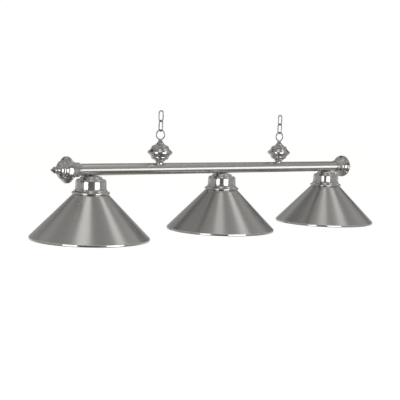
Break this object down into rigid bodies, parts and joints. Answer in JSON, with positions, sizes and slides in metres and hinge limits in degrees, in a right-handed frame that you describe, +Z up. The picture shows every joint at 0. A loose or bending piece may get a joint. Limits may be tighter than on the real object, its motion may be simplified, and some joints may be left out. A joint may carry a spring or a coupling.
{
  "type": "pool table lamp",
  "caption": "Straight bar lamp for a billiard table: conical brushed steel shades under bright caps, hung from two short chains.",
  "frame": {"origin": "midway between the two top links, at the height where their ceiling hooks bear", "axes": "+X along the bar towards the right-hand end, +Y to the back where the mains lead goes in, +Z up"},
  "size_m": [1.4224, 0.3556, 0.3877],
  "materials": {
    "brushed_steel": "brushed, satin",
    "bright_plate": "polished nickel plate",
    "plated_chain": "bright plated wire",
    "zinc": "zinc plated steel",
    "porcelain": "glazed",
    "brass": "plain",
    "black_nylon": "matt",
    "opal_glass": "frosted white",
    "bulb_aluminium": "drawn"
  },
  "bodies": {
    "ceiling_links": {"left_top_link": "plated_chain", "right_top_link": "plated_chain"},
    "left_link": {"left_lower_link": "plated_chain"},
    "right_link": {"right_lower_link": "plated_chain"},
    "fixture": {"bar_tube": "brushed_steel", "cord_bushing": "black_nylon", "left_end_collar": "bright_plate", "left_end_inner_bell": "bright_plate", "left_end_outer_bell": "bright_plate", "left_end_knob": "bright_plate", "left_hanger_lower_bell": "bright_plate", "left_hanger_upper_bell": "bright_plate", "left_hanger_loop": "bright_plate", "left_hanger_nipple": "zinc", "left_hanger_nut": "zinc", "right_end_collar": "bright_plate", "right_end_inner_bell": "bright_plate", "right_end_outer_bell": "bright_plate", "right_end_knob": "bright_plate", "right_hanger_lower_bell": "bright_plate", "right_hanger_upper_bell": "bright_plate", "right_hanger_loop": "bright_plate", "right_hanger_nipple": "zinc", "right_hanger_nut": "zinc", "left_lamp_cap": "bright_plate", "left_lamp_shade": "brushed_steel", "left_lamp_rim_band": "bright_plate", "left_lamp_socket": "porcelain", "left_lamp_shade_ring": "porcelain", "left_lamp_screw_shell": "brass", "left_lamp_bulb_base": "bulb_aluminium", "left_lamp_bulb_glass": "opal_glass", "left_lamp_nipple": "zinc", "left_lamp_upper_nut": "zinc", "left_lamp_lock_nut": "zinc", "middle_lamp_cap": "bright_plate", "middle_lamp_shade": "brushed_steel", "middle_lamp_rim_band": "bright_plate", "middle_lamp_socket": "porcelain", "middle_lamp_shade_ring": "porcelain", "middle_lamp_screw_shell": "brass", "middle_lamp_bulb_base": "bulb_aluminium", "middle_lamp_bulb_glass": "opal_glass", "middle_lamp_nipple": "zinc", "middle_lamp_upper_nut": "zinc", "middle_lamp_lock_nut": "zinc", "right_lamp_cap": "bright_plate", "right_lamp_shade": "brushed_steel", "right_lamp_rim_band": "bright_plate", "right_lamp_socket": "porcelain", "right_lamp_shade_ring": "porcelain", "right_lamp_screw_shell": "brass", "right_lamp_bulb_base": "bulb_aluminium", "right_lamp_bulb_glass": "opal_glass", "right_lamp_nipple": "zinc", "right_lamp_upper_nut": "zinc", "right_lamp_lock_nut": "zinc"}
  },
  "joints": [
    {"name": "left_link_swing", "type": "hinge", "parent": "ceiling_links", "child": "left_link", "pos_m": [-0.272, 0, -0.032], "axis": [1, 0, 0], "range_deg": [-45, 45]},
    {"name": "right_link_swing", "type": "hinge", "parent": "ceiling_links", "child": "right_link", "pos_m": [0.272, 0, -0.032], "axis": [1, 0, 0], "range_deg": [-45, 45]},
    {"name": "bar_swing", "type": "hinge", "parent": "left_link", "child": "fixture", "pos_m": [-0.272, 0, -0.0574], "axis": [1, 0, 0], "range_deg": [-30, 30]}
  ],
  "couplings": [
    {"joint": "right_link_swing", "follows": "left_link_swing", "ratio": 1}
  ]
}
